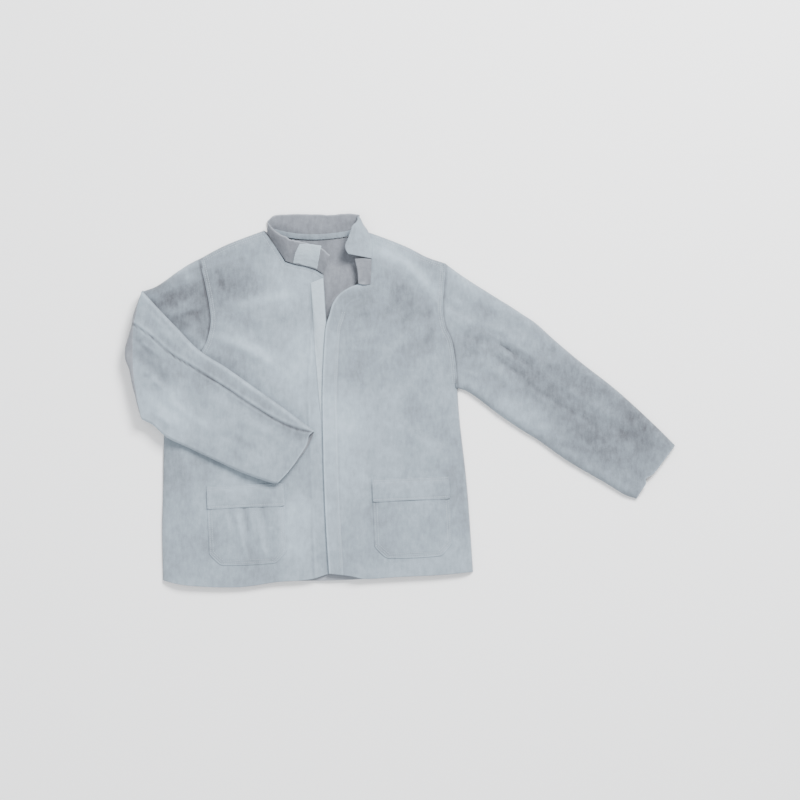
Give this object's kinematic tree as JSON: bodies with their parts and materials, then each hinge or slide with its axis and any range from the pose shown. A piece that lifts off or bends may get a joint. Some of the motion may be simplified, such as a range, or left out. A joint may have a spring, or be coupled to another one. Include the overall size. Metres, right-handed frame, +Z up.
{
  "type": "leather welding jacket",
  "caption": "Split leather welding jacket laid flat, with stand collar, hook and loop front, collar tab, set-in sleeves and flapped patch pockets.",
  "frame": {"origin": "underside of the back panel, at centre back on the line that joins the two underarms", "axes": "+X to the wearer's left along the body, +Y from hem to collar, +Z up out of the table the jacket lies on, front side up"},
  "size_m": [1.1369, 0.7831, 0.041],
  "materials": {
    "split_leather": "bluish grey split leather with a suede nap",
    "leather_inside": "darker flesh side of the same leather",
    "loop_tape": "pale woven loop tape",
    "hook_tape": "brownish grey hook tape"
  },
  "bodies": {
    "jacket_body": {"back_panel": "split_leather", "collar_back_outer": "split_leather", "collar_back_lining": "leather_inside", "back_neck_tape": "split_leather", "right_front_panel": "split_leather", "right_front_facing": "leather_inside", "front_loop_strip": "loop_tape", "left_front_side_panel": "split_leather", "collar_right_outer": "split_leather", "collar_right_lining": "leather_inside", "right_pocket_bag": "split_leather", "right_pocket_loop_patch": "loop_tape", "right_pocket_flap_band": "split_leather"},
    "left_front": {"left_front_panel": "split_leather", "left_front_facing": "leather_inside", "front_hook_strip": "hook_tape", "collar_left_outer": "split_leather", "collar_left_lining": "leather_inside", "left_pocket_bag": "split_leather", "left_pocket_loop_patch": "loop_tape", "left_pocket_flap_band": "split_leather"},
    "left_flap": {"left_pocket_flap": "split_leather", "left_flap_hook_patch": "hook_tape"},
    "right_flap": {"right_pocket_flap": "split_leather", "right_flap_hook_patch": "hook_tape"},
    "right_collar_end": {"collar_right_end_outer": "split_leather", "collar_right_end_lining": "leather_inside", "collar_loop_patch": "loop_tape"},
    "collar_tab": {"collar_tab_leather": "split_leather", "collar_tab_hook_patch": "hook_tape"},
    "left_upper_sleeve": {"left_upper_sleeve_under": "split_leather", "left_upper_sleeve_top": "split_leather"},
    "left_lower_sleeve": {"left_lower_sleeve_under": "split_leather", "left_lower_sleeve_top": "split_leather"},
    "right_upper_sleeve": {"right_upper_sleeve_under": "split_leather", "right_upper_sleeve_top": "split_leather"},
    "right_lower_sleeve": {"right_lower_sleeve_under": "split_leather", "right_lower_sleeve_top": "split_leather", "right_lower_sleeve_back_strip": "split_leather"}
  },
  "joints": [
    {"name": "left_front_open", "type": "hinge", "parent": "jacket_body", "child": "left_front", "pos_m": [0.125, 0.323, 0.028], "axis": [-0.301, 0.9536, 0], "range_deg": [0, 165]},
    {"name": "left_shoulder_swing", "type": "hinge", "parent": "jacket_body", "child": "left_upper_sleeve", "pos_m": [0.277, 0.262, 0.008], "axis": [0, 0, 1], "range_deg": [0, 12]},
    {"name": "right_shoulder_swing", "type": "hinge", "parent": "jacket_body", "child": "right_upper_sleeve", "pos_m": [-0.24, 0.2705, 0.008], "axis": [0, 0, -1], "range_deg": [0, 12]},
    {"name": "left_sleeve_fold", "type": "hinge", "parent": "left_upper_sleeve", "child": "left_lower_sleeve", "pos_m": [0.44, 0.03, 0.0185], "axis": [0, 1, 0], "range_deg": [-150, 0]},
    {"name": "right_sleeve_fold", "type": "hinge", "parent": "right_upper_sleeve", "child": "right_lower_sleeve", "pos_m": [-0.38, 0.07, 0.021], "axis": [0, -1, 0], "range_deg": [0, 178]},
    {"name": "left_flap_lift", "type": "hinge", "parent": "left_front", "child": "left_flap", "pos_m": [0.20352, -0.19899, 0.027], "axis": [-0.999, -0.0436, 0], "range_deg": [0, 170]},
    {"name": "right_flap_lift", "type": "hinge", "parent": "jacket_body", "child": "right_flap", "pos_m": [-0.14298, -0.21399, 0.027], "axis": [-0.999, -0.0436, 0], "range_deg": [0, 85]},
    {"name": "right_collar_end_lift", "type": "hinge", "parent": "jacket_body", "child": "right_collar_end", "pos_m": [-0.0585, 0.2664, 0.0175], "axis": [0.948, -0.3184, 0], "range_deg": [0, 120]},
    {"name": "collar_tab_lift", "type": "hinge", "parent": "left_front", "child": "collar_tab", "pos_m": [0.104, 0.2715, 0.025], "axis": [1, 0, 0], "range_deg": [-95, 0]}
  ]
}
